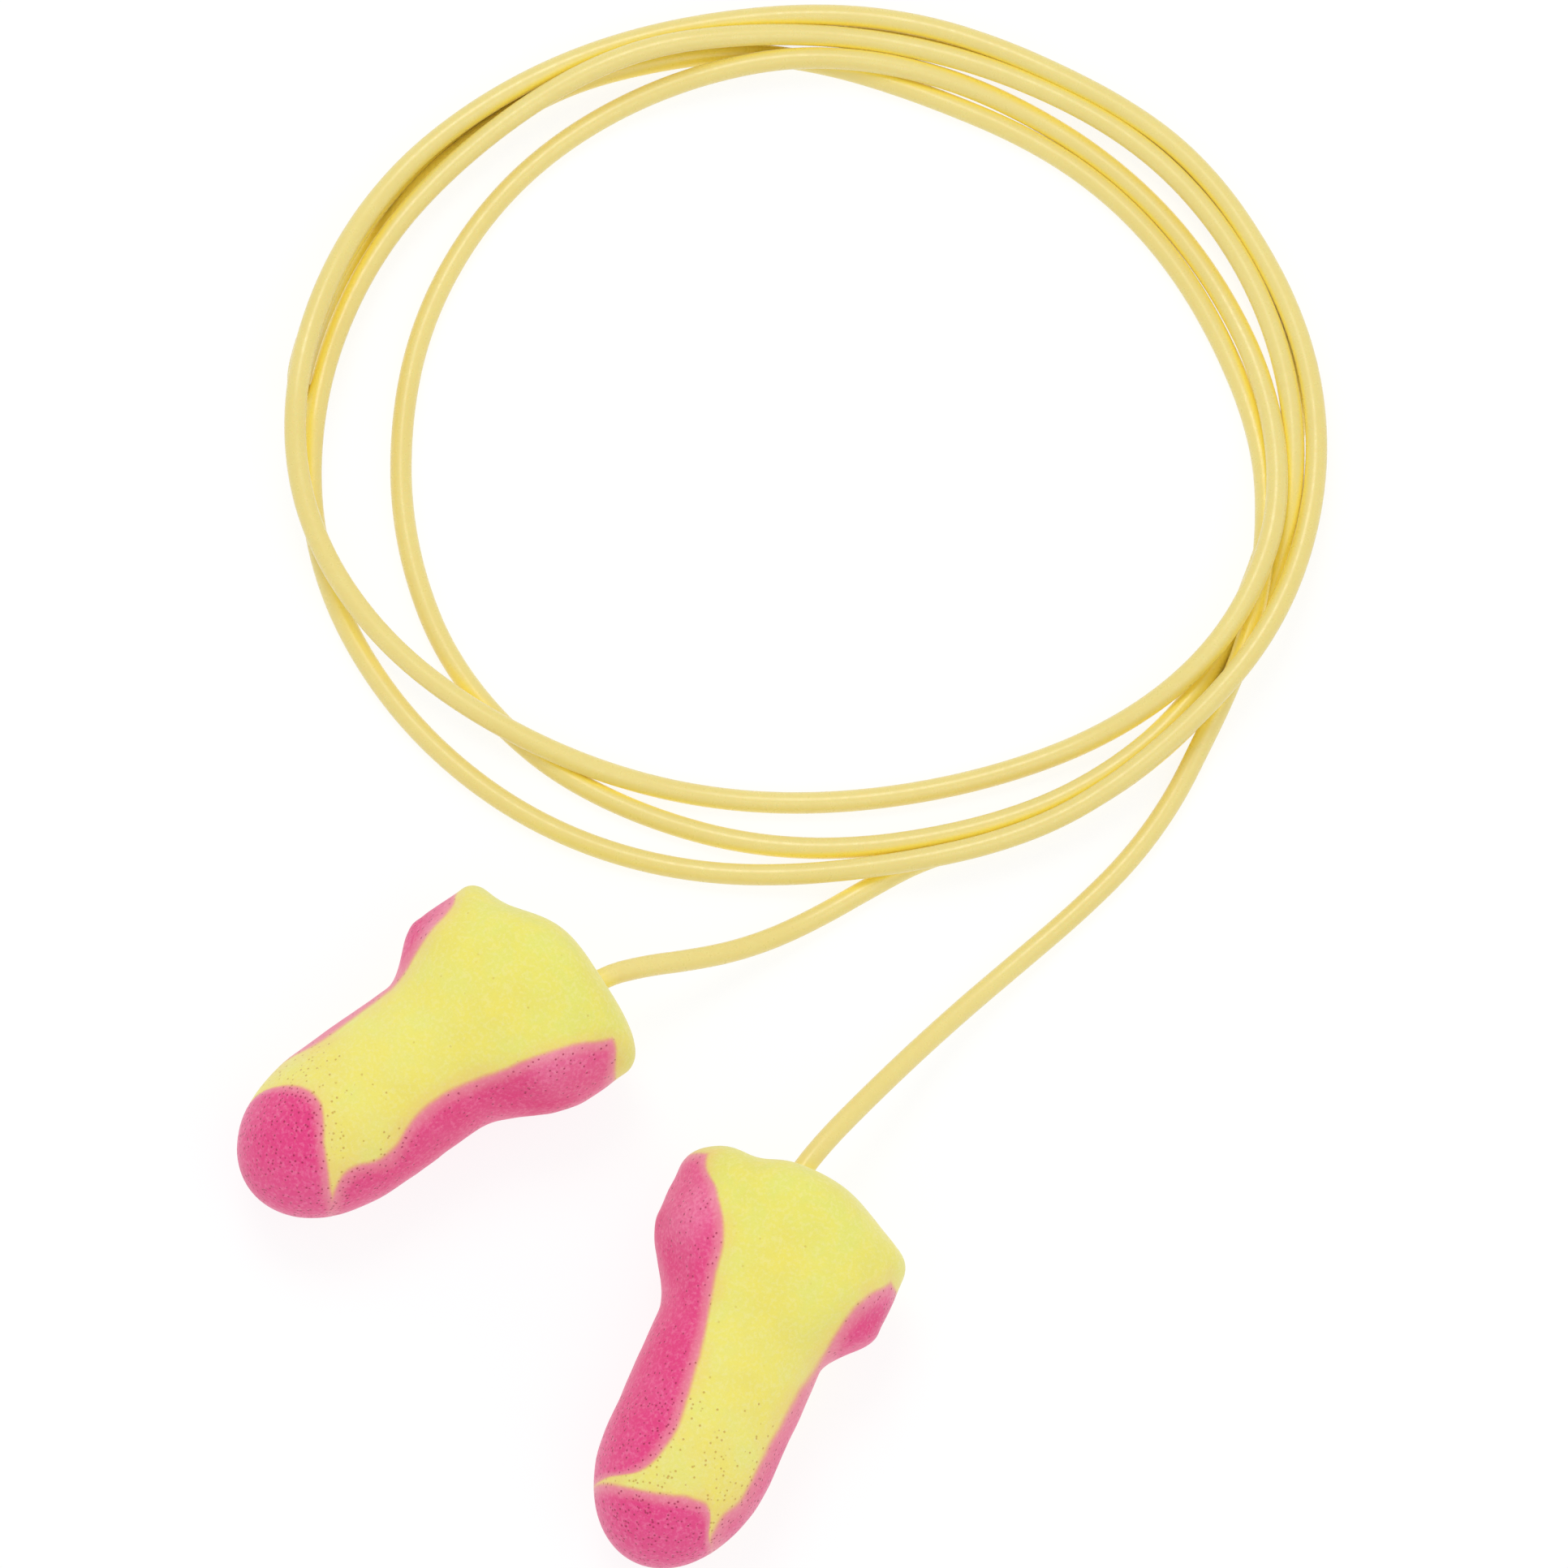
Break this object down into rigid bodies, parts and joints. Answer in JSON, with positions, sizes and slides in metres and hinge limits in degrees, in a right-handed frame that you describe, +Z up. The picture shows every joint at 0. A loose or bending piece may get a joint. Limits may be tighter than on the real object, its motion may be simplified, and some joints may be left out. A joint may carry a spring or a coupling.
{
  "type": "corded foam ear plugs",
  "caption": "T-shaped soft foam ear plugs with rounded tips, joined base to base by a thin soft vinyl cord that lies loosely coiled beside them.",
  "frame": {"origin": "on the surface that the plugs lie on, under the middle of the box round the two plugs", "axes": "+Z up from that surface; +Y from the plugs towards the coiled cord; +X to the right seen from above with +Y away"},
  "size_m": [0.0657, 0.0964, 0.0113],
  "materials": {
    "foam": "matte",
    "cord": "satin",
    "glue": "gloss"
  },
  "bodies": {
    "root": {"left_foam_plug": "foam", "right_foam_plug": "foam", "left_cord_bond": "glue", "right_cord_bond": "glue", "cord_coil": "cord", "left_cord_lead": "cord", "right_cord_lead": "cord"}
  },
  "joints": []
}
